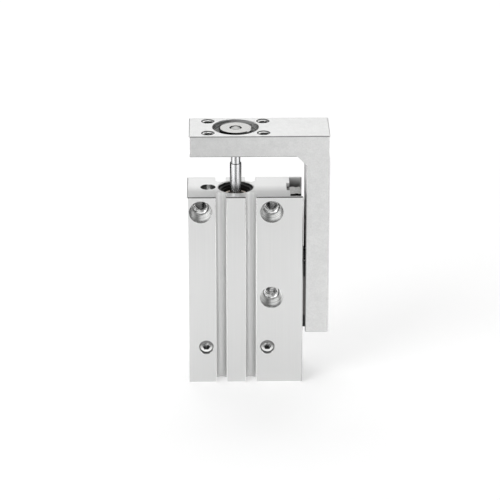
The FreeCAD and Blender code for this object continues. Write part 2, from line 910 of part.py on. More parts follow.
def block_pocket():
    """Pocket in the plate's inner face that seats the guide block, with a long sloping run-out above it."""
    half = block_width / 2 + block_pocket_play
    top = block_top + end_part_length + end_screw_head_height + block_pocket_end_room
    bottom = plate_bottom - overshoot
    mouth = plate_inner - overshoot
    corners = [
        V(mouth, 0, bottom), V(block_outer, 0, bottom), V(block_outer, 0, top),
        V(plate_inner, 0, top + block_pocket_run_out), V(mouth, 0, top + block_pocket_run_out),
    ]
    return prism(corners, -half, half, V(0, 1, 0))


def table_top_holes():
    radius = table_thread_diameter / 2
    wide = radius + table_thread_chamfer
    outline = [
        (0, -overshoot), (wide, -overshoot), (wide, 0), (radius, table_thread_chamfer),
        (radius, arm_thickness - table_thread_chamfer), (wide, arm_thickness),
        (wide, arm_thickness + overshoot), (0, arm_thickness + overshoot),
    ]
    xs = (bore_x - top_hole_pitch_x / 2, bore_x + top_hole_pitch_x / 2)
    ys = (-top_hole_pitch_y / 2, top_hole_pitch_y / 2)
    return [turned(outline, V(x, y, arm_bottom)) for x in xs for y in ys]


def table_side_holes():
    outline = drilled_hole(table_thread_diameter / 2, side_hole_depth, table_thread_chamfer)
    middle = table_top - side_holes_from_top
    ys = (-side_hole_pitch_y / 2, side_hole_pitch_y / 2)
    zs = (middle - side_hole_pitch_z / 2, middle + side_hole_pitch_z / 2)
    return [turned(outline, V(plate_outer, y, z), V(1, 0, 0)) for y in ys for z in zs]


def joint_opening():
    counterbore = joint_counterbore_diameter / 2
    hole = joint_hole_diameter / 2
    return on_bore_axis([
        (0, arm_bottom - overshoot), (hole, arm_bottom - overshoot), (hole, web_top),
        (counterbore, web_top), (counterbore, table_top + overshoot), (0, table_top + overshoot),
    ])


def table_block_screw_holes():
    seat = block_screw_seat()
    grip = seat - block_outer + overshoot
    return [screw_recess(seat, y, z, grip, plate_outer - seat) for y, z in block_screw_places()]


def table():
    shape = table_blank()
    tools = [block_pocket(), joint_opening()] + table_top_holes() + table_side_holes()
    for tool in tools + table_block_screw_holes():
        shape = shape.cut(tool)
    return shape


# ---------------------------------------------------------------- write every piece

save("cylinder_body", cylinder_body())
save("port_plugs", port_plugs())
save("passage_plugs", passage_plugs())
save("rod_cover", rod_cover())
save("rod_cover_o_ring", o_ring(rod_o_ring_height))
save("rod_seal", rod_seal())
save("rod_retaining_ring", retaining_ring(rod_cover_top))
save("head_cover", head_cover())
save("head_cover_o_ring", o_ring(head_o_ring_height))
save("head_retaining_ring", retaining_ring(head_end_recess))
save("guide_rail", guide_rail())
save("rail_screws", rail_screws())

save("piston_rod", piston_rod())
save("piston", piston())
save("piston_seal", piston_seal())
save("piston_magnet", piston_magnet())
save("piston_wear_ring", piston_wear_ring())
save("rod_side_bumper", rod_side_bumper())
save("head_side_bumper", head_side_bumper())
save("floating_bushing", floating_bushing())
save("rod_washer", rod_washer())
save("table", table())
save("guide_block", guide_block())
save("block_end_cap_upper", block_end_cap(block_top))
save("block_end_cap_lower", block_end_cap(block_bottom - end_cap_length))
save("block_end_seals", block_end_seals())
save("end_screws", end_screws())
save("guide_balls", guide_balls())
save("block_screws", block_screws())

travel_up = stroke - travel_down
print("stroke", round(stroke, 3), "down", round(travel_down, 3), "up", round(travel_up, 3))
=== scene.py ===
# Looks of the guided pneumatic cylinder: finishes, cut threads, studio floor, light and camera.

import json
import math

import bpy
from mathutils import Matrix, Vector

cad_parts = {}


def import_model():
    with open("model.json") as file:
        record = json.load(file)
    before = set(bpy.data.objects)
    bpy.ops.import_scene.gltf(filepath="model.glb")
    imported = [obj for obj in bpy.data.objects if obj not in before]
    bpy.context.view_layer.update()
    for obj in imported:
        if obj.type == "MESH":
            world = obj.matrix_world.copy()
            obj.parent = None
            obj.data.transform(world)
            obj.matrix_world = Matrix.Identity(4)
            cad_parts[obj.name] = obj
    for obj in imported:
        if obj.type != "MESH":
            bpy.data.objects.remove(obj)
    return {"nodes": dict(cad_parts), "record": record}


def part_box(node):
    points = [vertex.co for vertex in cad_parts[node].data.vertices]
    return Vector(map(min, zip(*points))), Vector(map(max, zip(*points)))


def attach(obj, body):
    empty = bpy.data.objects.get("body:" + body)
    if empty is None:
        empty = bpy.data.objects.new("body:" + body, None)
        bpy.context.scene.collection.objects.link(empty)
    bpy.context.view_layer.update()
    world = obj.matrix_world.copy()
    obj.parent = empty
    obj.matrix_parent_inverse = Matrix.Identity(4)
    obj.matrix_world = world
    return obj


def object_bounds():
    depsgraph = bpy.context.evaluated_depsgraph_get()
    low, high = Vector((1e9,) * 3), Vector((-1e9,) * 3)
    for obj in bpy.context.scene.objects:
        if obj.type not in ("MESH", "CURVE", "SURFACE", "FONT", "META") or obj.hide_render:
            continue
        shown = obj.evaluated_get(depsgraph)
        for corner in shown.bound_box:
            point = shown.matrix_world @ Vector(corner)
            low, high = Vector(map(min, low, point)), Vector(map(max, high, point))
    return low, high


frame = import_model()
cad_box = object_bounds()

MM = 0.001

# ---------------------------------------------------------------- places taken from the frame

mounts = {mount["name"]: mount for mount in frame["record"]["mounts"]}
body_low, body_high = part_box("cylinder_body")
table_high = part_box("table")[1]
bushing_low, bushing_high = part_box("floating_bushing")
bore_axis = (bushing_low + bushing_high) / 2
rail_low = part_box("guide_rail")[0]


def row_of_two(mount, key, axis):
    """Centres of the two holes of an in-line pattern."""
    middle = Vector(mount["pos_m"])
    half = Vector(axis) * mount["dims"][key] * MM / 2
    return [middle - half, middle + half]


def corners_of(mount, first_axis, second_axis):
    """Centres of the four holes of a rectangular pattern."""
    middle = Vector(mount["pos_m"])
    first = Vector(first_axis) * mount["dims"]["spacing_x_mm"] * MM / 2
    second = Vector(second_axis) * mount["dims"]["spacing_y_mm"] * MM / 2
    return [middle + a * first + b * second for a in (-1, 1) for b in (-1, 1)]


def body_hole_centres():
    top_pair = row_of_two(mounts["body_holes_top"], "spacing_x_mm", (1, 0, 0))
    right_pair = row_of_two(mounts["body_holes_right"], "spacing_y_mm", (0, 0, 1))
    return top_pair + right_pair[:1]


# ---------------------------------------------------------------- node helpers

def new_material(name):
    material = bpy.data.materials.new(name)
    material.use_nodes = True
    return material, material.node_tree, material.node_tree.nodes["Principled BSDF"]


def maths(tree, operation, first, second):
    """One Math node; its inputs are node outputs or plain numbers."""
    node = tree.nodes.new("ShaderNodeMath")
    node.operation = operation
    for socket, value in zip(node.inputs, (first, second)):
        if isinstance(value, bpy.types.NodeSocket):
            tree.links.new(value, socket)
        else:
            socket.default_value = value
    return node.outputs[0]


def place_in_mm(tree):
    """Position on the piece, in millimetres of the shared frame."""
    coordinates = tree.nodes.new("ShaderNodeTexCoord")
    scale = tree.nodes.new("ShaderNodeVectorMath")
    scale.operation = "SCALE"
    scale.inputs["Scale"].default_value = 1 / MM
    tree.links.new(coordinates.outputs["Object"], scale.inputs[0])
    return scale.outputs[0]


def along(tree, place, axis):
    """One coordinate of a place: "X", "Y" or "Z"."""
    split = tree.nodes.new("ShaderNodeSeparateXYZ")
    tree.links.new(place, split.inputs[0])
    return split.outputs[axis]


def distance_from(tree, place, centre, axis):
    """Distance in millimetres from the line through centre along axis."""
    from_centre = tree.nodes.new("ShaderNodeVectorMath")
    from_centre.operation = "SUBTRACT"
    from_centre.inputs[1].default_value = Vector(centre) / MM
    tree.links.new(place, from_centre.inputs[0])
    across = tree.nodes.new("ShaderNodeVectorMath")
    across.operation = "MULTIPLY"
    across.inputs[1].default_value = [1 - abs(part) for part in axis]
    tree.links.new(from_centre.outputs[0], across.inputs[0])
    length = tree.nodes.new("ShaderNodeVectorMath")
    length.operation = "LENGTH"
    tree.links.new(across.outputs[0], length.inputs[0])
    return length.outputs["Value"]


def distance_from_nearest(tree, place, centres, axis):
    nearest = distance_from(tree, place, centres[0], axis)
    for centre in centres[1:]:
        nearest = maths(tree, "MINIMUM", nearest, distance_from(tree, place, centre, axis))
    return nearest


def offset_in_row(tree, value, first, spacing):
    """Signed distance in millimetres from the nearest place of a row."""
    wrap = tree.nodes.new("ShaderNodeMath")
    wrap.operation = "WRAP"
    wrap.inputs[1].default_value = first + spacing / 2
    wrap.inputs[2].default_value = first - spacing / 2
    tree.links.new(value, wrap.inputs[0])
    return maths(tree, "SUBTRACT", wrap.outputs[0], first)


def streak(tree, offset, centre, near, far, at_centre, outside):
    """A soft band along an offset: one value within near of its centre, another beyond far."""
    away = maths(tree, "ABSOLUTE", maths(tree, "SUBTRACT", offset, centre), 0)
    return ramp(tree, away, near, far, at_centre, outside)


def between(tree, value, low, high):
    """1 where the value lies from low to high, else 0."""
    node = tree.nodes.new("ShaderNodeMath")
    node.operation = "COMPARE"
    node.inputs[1].default_value = (low + high) / 2
    node.inputs[2].default_value = (high - low) / 2
    tree.links.new(value, node.inputs[0])
    return node.outputs[0]


def both(tree, first, second):
    """1 where both masks are 1."""
    return maths(tree, "MULTIPLY", first, second)


def noise(tree, place, per_mm, detail):
    """Noise with so many bumps per millimetre along X, Y and Z."""
    mapping = tree.nodes.new("ShaderNodeMapping")
    mapping.inputs["Scale"].default_value = per_mm
    tree.links.new(place, mapping.inputs["Vector"])
    texture = tree.nodes.new("ShaderNodeTexNoise")
    texture.inputs["Scale"].default_value = 1.0
    texture.inputs["Detail"].default_value = detail
    tree.links.new(mapping.outputs[0], texture.inputs["Vector"])
    return texture.outputs["Fac"]


def rings_round(tree, distance, per_mm):
    """Noise that changes only with the distance from an axis, as a turning tool leaves it."""
    joined = tree.nodes.new("ShaderNodeCombineXYZ")
    tree.links.new(distance, joined.inputs["X"])
    return noise(tree, joined.outputs[0], (per_mm, 1, 1), 2)


def spread(tree, factor, low, high):
    """A noise factor stretched over low to high, with its rare extremes cut off."""
    return ramp(tree, factor, 0.3, 0.7, low, high)


def ramp(tree, value, start, end, at_start, at_end):
    """A straight ramp between two values, flat beyond its ends."""
    stretch = tree.nodes.new("ShaderNodeMapRange")
    stretch.inputs["From Min"].default_value = start
    stretch.inputs["From Max"].default_value = end
    stretch.inputs["To Min"].default_value = at_start
    stretch.inputs["To Max"].default_value = at_end
    tree.links.new(value, stretch.inputs["Value"])
    return stretch.outputs["Result"]


def shade(colour, factor):
    return tuple(channel * factor for channel in colour)


def two_tones(tree, factor, dark, light):
    mix = tree.nodes.new("ShaderNodeMix")
    mix.data_type = "RGBA"
    mix.inputs["A"].default_value = (*dark, 1)
    mix.inputs["B"].default_value = (*light, 1)
    tree.links.new(factor, mix.inputs["Factor"])
    return mix.outputs["Result"]


def surface(tree, factor, tone, contrast, roughness, variation, depth_mm):
    """Colour, roughness and height in millimetres of a finish whose marks follow one noise factor."""
    strength = spread(tree, factor, 0, 1)
    colour = two_tones(tree, strength, shade(tone, 1 - contrast), shade(tone, 1 + contrast))
    rough = spread(tree, factor, roughness - variation, roughness + variation)
    return colour, rough, maths(tree, "MULTIPLY", factor, depth_mm)


def dimmed(tree, look, factor):
    """The same surface with its colour multiplied by a varying factor."""
    mix = tree.nodes.new("ShaderNodeVectorMath")
    mix.operation = "SCALE"
    tree.links.new(look[0], mix.inputs[0])
    tree.links.new(factor, mix.inputs["Scale"])
    return mix.outputs[0], look[1], look[2]


def overlay(tree, mask, under, over):
    """The surface under, with the surface over where the mask is 1."""
    result = []
    for data_type, below, above in zip(("RGBA", "FLOAT", "FLOAT"), under, over):
        mix = tree.nodes.new("ShaderNodeMix")
        mix.data_type = data_type
        tree.links.new(mask, mix.inputs["Factor"])
        tree.links.new(below, mix.inputs["A"])
        tree.links.new(above, mix.inputs["B"])
        result.append(mix.outputs["Result"])
    return result


def finish(tree, shader, look):
    """Join a surface to the shader."""
    colour, roughness, height = look
    tree.links.new(colour, shader.inputs["Base Color"])
    tree.links.new(roughness, shader.inputs["Roughness"])
    bump = tree.nodes.new("ShaderNodeBump")
    bump.inputs["Strength"].default_value = 1.0
    bump.inputs["Distance"].default_value = MM
    tree.links.new(height, bump.inputs["Height"])
    tree.links.new(bump.outputs["Normal"], shader.inputs["Normal"])


# ---------------------------------------------------------------- finishes

# Places and radii are in millimetres of the shared frame. Tones are factors on a neutral metal. Many ramps
# and streaks paint light and shade onto a surface by place, tuned to the front view, where the lamps don't
# give it.

NEUTRAL = (1.0, 1.003, 0.997)
BODY_TOP = body_high.z / MM
BODY_RIGHT = body_high.x / MM
BODY_HALF_DEPTH = body_high.y / MM
TABLE_HALF_DEPTH = table_high.y / MM
BORE_X = bore_axis.x / MM
PORTS = [mounts[name]["pos_m"] for name in ("port_left", "port_right")]
PORT_HEIGHT = PORTS[0][2] / MM

FACE_LAYER = 0.02
EDGE_LAYER = 0.28
END_CHAMFER = 0.31
BACK_LAYER = 0.5
GROOVE_OFFSET = 5.15
GROOVE_HALF_WIDTH = 1.76
GROOVE_DEPTH = 4.0
COUNTERBORE_RADIUS = 4.0
SEAT_RIM = 0.06
THREAD_MOUTH_RADIUS = 2.97
CLEARANCE_RADIUS = 2.2
PORT_MOUTH_RADIUS = 2.61
TOP_HOLE_FROM_LEFT = 7.2
TOP_HOLE_RADIUS = 2.66
TOP_HOLE_REACH = 3
BORE_MOUTH_RADIUS = 6.05
CHANNEL_DEPTH = 4.5
CHANNEL_LIP = 1.0
RAIL_SEAT_DEPTH = 1.15
PLATE_INNER_X = 16.35
TABLE_EDGE_LAYER = 0.29
TABLE_HOLE_RADIUS = 2.32
JOINT_SEAT_RADIUS = 7.95
JOINT_WALL_RADIUS = 8.02
PLUG_SUNK = 0.9
PLUG_SOCKET_RADIUS = 1.47
RAIL_END_INSET = 1.4
FLATS_END_Z = 79.05
FLATS_END_HALF_HEIGHT = 0.14
RIVETED_END_HEIGHT = 1.0
COVER_FACE_RADII = (2.5, 3.95)
BUSHING_FACE_RADIUS = 5.32
BUSHING_RIM_RADIUS = 6.0
BUSHING_RECESS_RADIUS = 2.12


def from_middle_plane(tree, place):
    """Distance in front of or behind the object's middle plane."""
    return maths(tree, "ABSOLUTE", along(tree, place, "Y"), 0)


def below_body_top(tree, place):
    return maths(tree, "LESS_THAN", along(tree, place, "Z"), BODY_TOP - FACE_LAYER)


def extruded_skin(tree, place, die_lines):
    """Die lines along Z, with painted light that makes the skin a little lighter towards the top."""
    look = surface(tree, die_lines, shade(NEUTRAL, 0.775), 0.02, 0.44, 0.05, 0.005)
    return dimmed(tree, look, ramp(tree, along(tree, place, "Z"), 0, BODY_TOP, 0.965, 1.125))


def with_milled_ends(tree, place, look, milling):
    """Milled end faces, with painted shade that makes them darker at the front."""
    from_half_height = maths(
        tree, "ABSOLUTE", maths(tree, "SUBTRACT", along(tree, place, "Z"), BODY_TOP / 2), 0)
    ends = maths(tree, "GREATER_THAN", from_half_height, BODY_TOP / 2 - FACE_LAYER)
    milled = surface(tree, milling, shade(NEUTRAL, 0.86), 0.03, 0.36, 0.05, 0.004)
    front_shade = ramp(tree, along(tree, place, "Y"), -4.5, 1.2, 0.72, 1.0)
    return overlay(tree, ends, look, dimmed(tree, milled, front_shade))


def with_grooves(tree, place, look, die_lines):
    """Lengthways grooves, with painted light and shade that make them lighter on their right side."""
    x = along(tree, place, "X")
    from_bore = maths(tree, "ABSOLUTE", maths(tree, "SUBTRACT", x, BORE_X), 0)
    grooves = both(
        tree,
        between(tree, from_bore, GROOVE_OFFSET - GROOVE_HALF_WIDTH, GROOVE_OFFSET + GROOVE_HALF_WIDTH),
        between(
            tree, from_middle_plane(tree, place),
            BODY_HALF_DEPTH - GROOVE_DEPTH, BODY_HALF_DEPTH - EDGE_LAYER))
    in_groove = offset_in_row(tree, x, BORE_X - GROOVE_OFFSET, 2 * GROOVE_OFFSET)
    groove_look = surface(tree, die_lines, shade(NEUTRAL, 0.92), 0.02, 0.32, 0.04, 0.003)
    side_light = ramp(tree, in_groove, -0.3, 0.6, 0.73, 1.10)
    return overlay(tree, grooves, look, dimmed(tree, groove_look, side_light))


def with_channel(tree, place, look, die_lines):
    """Guide channel, with painted light at its ends and painted shade between them."""
    x = along(tree, place, "X")
    z = along(tree, place, "Z")
    channel = both(
        tree, between(tree, x, BODY_RIGHT - CHANNEL_DEPTH - RAIL_SEAT_DEPTH, BODY_RIGHT - 0.1),
        between(tree, from_middle_plane(tree, place), 0, BODY_HALF_DEPTH - CHANNEL_LIP + FACE_LAYER))
    channel = both(tree, channel, below_body_top(tree, place))
    depth_shade = maths(
        tree, "MAXIMUM", ramp(tree, z, BODY_TOP - 4.5, BODY_TOP, 0.03, 1.25),
        ramp(tree, z, 20, 45, 0.8, 0.0))
    channel_look = surface(tree, die_lines, shade(NEUTRAL, 0.80), 0.02, 0.65, 0.05, 0.005)
    return overlay(tree, channel, look, dimmed(tree, channel_look, depth_shade))


def with_mounting_holes(tree, place, look, feed_marks):
    """Counterbore walls, bright seats and clearance holes, with painted light and shade. Also gives the
    walls' mask.
    """
    from_hole = distance_from_nearest(tree, place, body_hole_centres(), (0, 1, 0))
    before_back = maths(tree, "LESS_THAN", along(tree, place, "Y"), BODY_HALF_DEPTH - BACK_LAYER)
    left_hole, right_hole = [centre.x / MM for centre in body_hole_centres()[:2]]
    across_hole = offset_in_row(tree, along(tree, place, "X"), left_hole, right_hole - left_hole)
    # Painted light and shade: each hole is darker at its left, with a dark painted streak left of its
    # middle.
    side_light = maths(
        tree, "MULTIPLY", ramp(tree, across_hole, -3.0, 2.0, 0.75, 1.0),
        streak(tree, across_hole, -1.2, 0.2, 1.4, 0.55, 1.0))
    wall = both(tree, before_back, between(tree, from_hole, 0, COUNTERBORE_RADIUS + FACE_LAYER))
    wall_look = surface(tree, feed_marks, shade(NEUTRAL, 0.72), 0.20, 0.20, 0.05, 0.01)
    look = overlay(tree, wall, look, dimmed(tree, wall_look, side_light))

    seat = both(
        tree, before_back, between(tree, from_hole, THREAD_MOUTH_RADIUS, COUNTERBORE_RADIUS - SEAT_RIM))
    seat_rings = rings_round(tree, from_hole, 5)
    seat_look = surface(tree, seat_rings, shade(NEUTRAL, 0.98), 0.02, 0.24, 0.05, 0.01)
    look = overlay(tree, seat, look, dimmed(tree, seat_look, side_light))

    # Painted shade: the clearance holes are dark and blotchy, with painted light lower down and towards
    # their right.
    clearance = both(tree, before_back, between(tree, from_hole, 0, CLEARANCE_RADIUS))
    patchy_marks_and_shade = noise(tree, place, (0.8, 3, 0.8), 2)
    clearance_look = surface(tree, patchy_marks_and_shade, shade(NEUTRAL, 0.40), 0.8, 0.25, 0.06, 0.02)
    clearance_light = maths(
        tree, "MULTIPLY", ramp(tree, along(tree, place, "Z"), 34, 62, 2.2, 0.8),
        ramp(tree, across_hole, -0.3, 0.8, 0.6, 1.1))
    return overlay(tree, clearance, look, dimmed(tree, clearance_look, clearance_light)), wall


def with_ports(tree, place, look, feed_marks):
    """Port walls, with painted shade darkening their lower half."""
    wall = between(tree, distance_from_nearest(tree, place, PORTS, (0, 1, 0)), 0, PORT_MOUTH_RADIUS)
    wall_look = surface(tree, feed_marks, shade(NEUTRAL, 0.60), 0.3, 0.3, 0.05, 0.01)
    light = ramp(tree, along(tree, place, "Z"), PORT_HEIGHT - 2.2, PORT_HEIGHT, 0.25, 1.0)
    return overlay(tree, wall, look, dimmed(tree, wall_look, light))


def with_top_hole(tree, place, look):
    """Blind hole in the top face: turned rings, a painted highlight as one bright streak, and painted shade
    beside it.
    """
    z = along(tree, place, "Z")
    centre = Vector((body_low.x + TOP_HOLE_FROM_LEFT * MM, 0, body_high.z))
    from_hole = distance_from(tree, place, centre, (0, 0, 1))
    rings = rings_round(tree, from_hole, 5)
    in_hole = between(tree, from_hole, 0, TOP_HOLE_RADIUS)
    in_hole = both(tree, in_hole, maths(tree, "GREATER_THAN", z, BODY_TOP - TOP_HOLE_REACH))
    in_hole = both(tree, in_hole, maths(tree, "LESS_THAN", z, BODY_TOP - FACE_LAYER / 2))
    hole_look = surface(tree, rings, shade(NEUTRAL, 0.9), 0.1, 0.25, 0.03, 0.03)
    across_hole = maths(tree, "SUBTRACT", along(tree, place, "X"), centre.x / MM)
    light = streak(tree, across_hole, 0.3, 0.2, 1.0, 1.0, 0.22)
    return overlay(tree, in_hole, look, dimmed(tree, hole_look, light))


def with_bore_mouth(tree, place, look, feed_marks):
    """Wall of the bore, painted dark as shade."""
    mouth = between(tree, distance_from(tree, place, bore_axis, (0, 0, 1)), 0, BORE_MOUTH_RADIUS)
    mouth_look = surface(tree, feed_marks, shade(NEUTRAL, 0.12), 0.3, 0.25, 0.05, 0.01)
    return overlay(tree, mouth, look, mouth_look)


def with_bright_edges(tree, place, look, die_lines, milling):
    """Bright polished chamfers, partly painted highlight, with painted shade beside the guide block and on
    the top ones.
    """
    z = along(tree, place, "Z")
    chamfer_low = BODY_TOP - END_CHAMFER
    edges = between(
        tree, from_middle_plane(tree, place), BODY_HALF_DEPTH - EDGE_LAYER, BODY_HALF_DEPTH - FACE_LAYER / 2)
    upright = both(tree, edges, maths(tree, "LESS_THAN", z, chamfer_low))
    upright_look = surface(tree, die_lines, shade(NEUTRAL, 0.98), 0.01, 0.13, 0.02, 0.0)
    # Painted shade: the upright chamfers at the right edge dim beside the guide block.
    beside_block = maths(
        tree, "MAXIMUM", ramp(tree, z, 61, 67, 0.12, 0.62), ramp(tree, z, 38, 46, 0.55, 0.12))
    left_of_right_edge = ramp(tree, along(tree, place, "X"), BODY_RIGHT - 0.6, BODY_RIGHT - 0.4, 1.0, 0.0)
    light = maths(tree, "MAXIMUM", left_of_right_edge, beside_block)
    look = overlay(tree, upright, look, dimmed(tree, upright_look, light))
    at_top = both(tree, edges, below_body_top(tree, place))
    at_top = both(tree, at_top, between(tree, z, chamfer_low, BODY_TOP))
    # Painted shade: the top chamfers are darker.
    top_look = surface(tree, milling, shade(NEUTRAL, 0.64), 0.01, 0.14, 0.02, 0.0)
    return overlay(tree, at_top, look, top_look)


def body_aluminium():
    """Clear-anodised extrusion: die lines along Z, milled ends, bright edges, machined holes; painted light
    and shade.
    """
    material, tree, shader = new_material("body_aluminium")
    place = place_in_mm(tree)
    die_lines = noise(tree, place, (5, 5, 0.03), 3)
    milling = noise(tree, place, (0.06, 3, 3), 3)
    feed_marks = noise(tree, place, (0.15, 4, 0.15), 2)
    look = extruded_skin(tree, place, die_lines)
    look = with_milled_ends(tree, place, look, milling)
    look = with_grooves(tree, place, look, die_lines)
    look = with_channel(tree, place, look, die_lines)
    look, hole_walls = with_mounting_holes(tree, place, look, feed_marks)
    look = with_ports(tree, place, look, feed_marks)
    look = with_top_hole(tree, place, look)
    look = with_bore_mouth(tree, place, look, feed_marks)
    look = with_bright_edges(tree, place, look, die_lines, milling)
    tree.links.new(ramp(tree, hole_walls, 0, 1, 0.8, 1.0), shader.inputs["Metallic"])
    finish(tree, shader, look)
    return material


def with_plate_inner_face(tree, place, look):
    """The plate's milled face towards the body."""
    face = both(
        tree, between(tree, along(tree, place, "X"), BODY_RIGHT, PLATE_INNER_X + 0.05),
        maths(tree, "LESS_THAN", along(tree, place, "Z"), BODY_TOP))
    inside_edges = maths(
        tree, "LESS_THAN", from_middle_plane(tree, place), TABLE_HALF_DEPTH - TABLE_EDGE_LAYER)
    face = both(tree, face, inside_edges)
    lines = noise(tree, place, (1, 0.1, 3), 2)
    return overlay(tree, face, look, surface(tree, lines, shade(NEUTRAL, 0.72), 0.02, 0.32, 0.03, 0.001))


def with_joint_counterbore(tree, place, look):
    """Turned seat and wall of the counterbore for the bushing, with painted light and shade, lightest
    towards the rear.
    """
    y = along(tree, place, "Y")
    from_axis = distance_from(tree, place, bore_axis, (0, 0, 1))
    seat = between(tree, from_axis, 0, JOINT_SEAT_RADIUS)
    # Painted shade darkens the seat, with a painted diagonal band of light and a painted black crescent at
    # its lower left.
    seat_look = surface(tree, rings_round(tree, from_axis, 3), shade(NEUTRAL, 0.40), 0.5, 0.18, 0.04, 0.05)
    across = maths(tree, "ADD", maths(tree, "SUBTRACT", along(tree, place, "X"), BORE_X), y)
    seat_light = maths(
        tree, "MULTIPLY", streak(tree, across, 0.0, 1.0, 5.5, 1.0, 0.17),
        ramp(tree, across, -8.4, -6.8, 0.05, 1.0))
    seat_light = maths(tree, "MULTIPLY", seat_light, ramp(tree, y, 0, 6, 0.9, 2.0))
    look = overlay(tree, seat, look, dimmed(tree, seat_look, seat_light))

    wall = between(tree, from_axis, JOINT_SEAT_RADIUS, JOINT_WALL_RADIUS)
    feed_marks = noise(tree, place, (0.12, 0.12, 3), 2)
    wall_look = surface(tree, feed_marks, shade(NEUTRAL, 0.58), 0.5, 0.3, 0.06, 0.03)
    return overlay(tree, wall, look, dimmed(tree, wall_look, ramp(tree, y, 1.0, 6.0, 0.30, 1.7)))


def with_table_edges(tree, place, look, grain):
    """Bright chamfers, painted darker below the arm as shade."""
    edges = between(
        tree, from_middle_plane(tree, place),
        TABLE_HALF_DEPTH - TABLE_EDGE_LAYER, TABLE_HALF_DEPTH - FACE_LAYER / 2)
    edge_look = surface(tree, grain, shade(NEUTRAL, 0.96), 0.01, 0.14, 0.02, 0.0)
    light = ramp(tree, along(tree, place, "Z"), 84, 86, 0.60, 1.0)
    return overlay(tree, edges, look, dimmed(tree, edge_look, light))


def blasted_aluminium():
    """Bead-blasted and anodised, with soft mottling and bright edges; painted shade on its left and in its
    machined top holes.
    """
    material, tree, shader = new_material("blasted_aluminium")
    shader.inputs["Metallic"].default_value = 0.7
    place = place_in_mm(tree)
    grain = noise(tree, place, (2.2, 2.2, 2.2), 4)
    mottle = noise(tree, place, (0.45, 0.45, 0.45), 3)
    look = surface(tree, grain, shade(NEUTRAL, 0.73), 0.05, 0.52, 0.05, 0.012)
    look = dimmed(tree, look, spread(tree, mottle, 0.97, 1.03))
    below_top = maths(tree, "LESS_THAN", along(tree, place, "Z"), table_high.z / MM - FACE_LAYER)
    # Painted light and shade: below its top face the table is darker on the left and lighter on the right.
    left_shade = ramp(tree, along(tree, place, "X"), -24.5, 18, 0.885, 1.06)
    look = overlay(tree, below_top, look, dimmed(tree, look, left_shade))
    look = with_plate_inner_face(tree, place, look)
    look = with_joint_counterbore(tree, place, look)
    corners = corners_of(mounts["table_top_holes"], (1, 0, 0), (0, 1, 0))
    # The holes in the top are painted dark as shade.
    top_holes = between(tree, distance_from_nearest(tree, place, corners, (0, 0, 1)), 0, TABLE_HOLE_RADIUS)
    look = overlay(tree, top_holes, look, surface(tree, grain, shade(NEUTRAL, 0.16), 0.3, 0.22, 0.05, 0.01))
    look = with_table_edges(tree, place, look, grain)
    finish(tree, shader, look)
    return material


def cut_thread(name, tone):
    """Flanks left by the tap, with fine torn lines, in the given tone."""
    material, tree, shader = new_material(name)
    shader.inputs["Metallic"].default_value = 1.0
    marks = noise(tree, place_in_mm(tree), (2, 2, 2), 2)
    finish(tree, shader, surface(tree, marks, shade(NEUTRAL, tone), 0.3, 0.15, 0.04, 0.03))
    return material


def turned_metal(name, tone, roughness, metallic=1.0, ring_depth=0.006):
    """Lathe-turned metal: fine rings round the bore axis."""
    material, tree, shader = new_material(name)
    shader.inputs["Metallic"].default_value = metallic
    rings = rings_round(tree, distance_from(tree, place_in_mm(tree), bore_axis, (0, 0, 1)), 7)
    finish(tree, shader, surface(tree, rings, tone, 0.05, roughness, roughness * 0.15, ring_depth))
    return material


def cover_bronze():
    """Bronze face of the rod's cover, between a rim painted near-black as shade and a near-black ring at the
    seal's lip.
    """
    material, tree, shader = new_material("cover_bronze")
    shader.inputs["Metallic"].default_value = 0.7
    from_axis = distance_from(tree, place_in_mm(tree), bore_axis, (0, 0, 1))
    rings = rings_round(tree, from_axis, 7)
    look = surface(tree, rings, (0.018, 0.017, 0.016), 0.3, 0.45, 0.05, 0.006)
    face = between(tree, from_axis, *COVER_FACE_RADII)
    look = overlay(tree, face, look, surface(tree, rings, (0.85, 0.76, 0.67), 0.05, 0.38, 0.05, 0.006))
    finish(tree, shader, look)
    return material


def joint_steel():
    """Turned steel, with painted light and shade across its rim and the recess round the riveted rod end
    painted dark as shade.
    """
    material, tree, shader = new_material("joint_steel")
    shader.inputs["Metallic"].default_value = 0.9
    place = place_in_mm(tree)
    from_axis = distance_from(tree, place, bore_axis, (0, 0, 1))
    rings = rings_round(tree, from_axis, 5)
    look = surface(tree, rings, (0.74, 0.735, 0.72), 0.08, 0.30, 0.05, 0.01)
    rim = between(tree, from_axis, BUSHING_FACE_RADIUS, BUSHING_RIM_RADIUS)
    across = maths(tree, "SUBTRACT", along(tree, place, "X"), BORE_X)
    rim_look = surface(tree, rings, shade(NEUTRAL, 0.6), 0.08, 0.20, 0.05, 0.01)
    look = overlay(tree, rim, look, dimmed(tree, rim_look, ramp(tree, across, -1, 4.5, 0.06, 1.2)))
    recess = between(tree, from_axis, 0, BUSHING_RECESS_RADIUS)
    look = overlay(tree, recess, look, surface(tree, rings, (0.03, 0.03, 0.03), 0.2, 0.4, 0.05, 0.01))
    finish(tree, shader, look)
    return material


def ground_metal(name, tone, roughness, lines_per_mm=(6, 6, 0.2)):
    """Ground or polished metal with fine lines along its length."""
    material, tree, shader = new_material(name)
    shader.inputs["Metallic"].default_value = 1.0
    lines = noise(tree, place_in_mm(tree), lines_per_mm, 2)
    finish(tree, shader, surface(tree, lines, tone, 0.04, roughness, roughness * 0.2, 0.002))
    return material


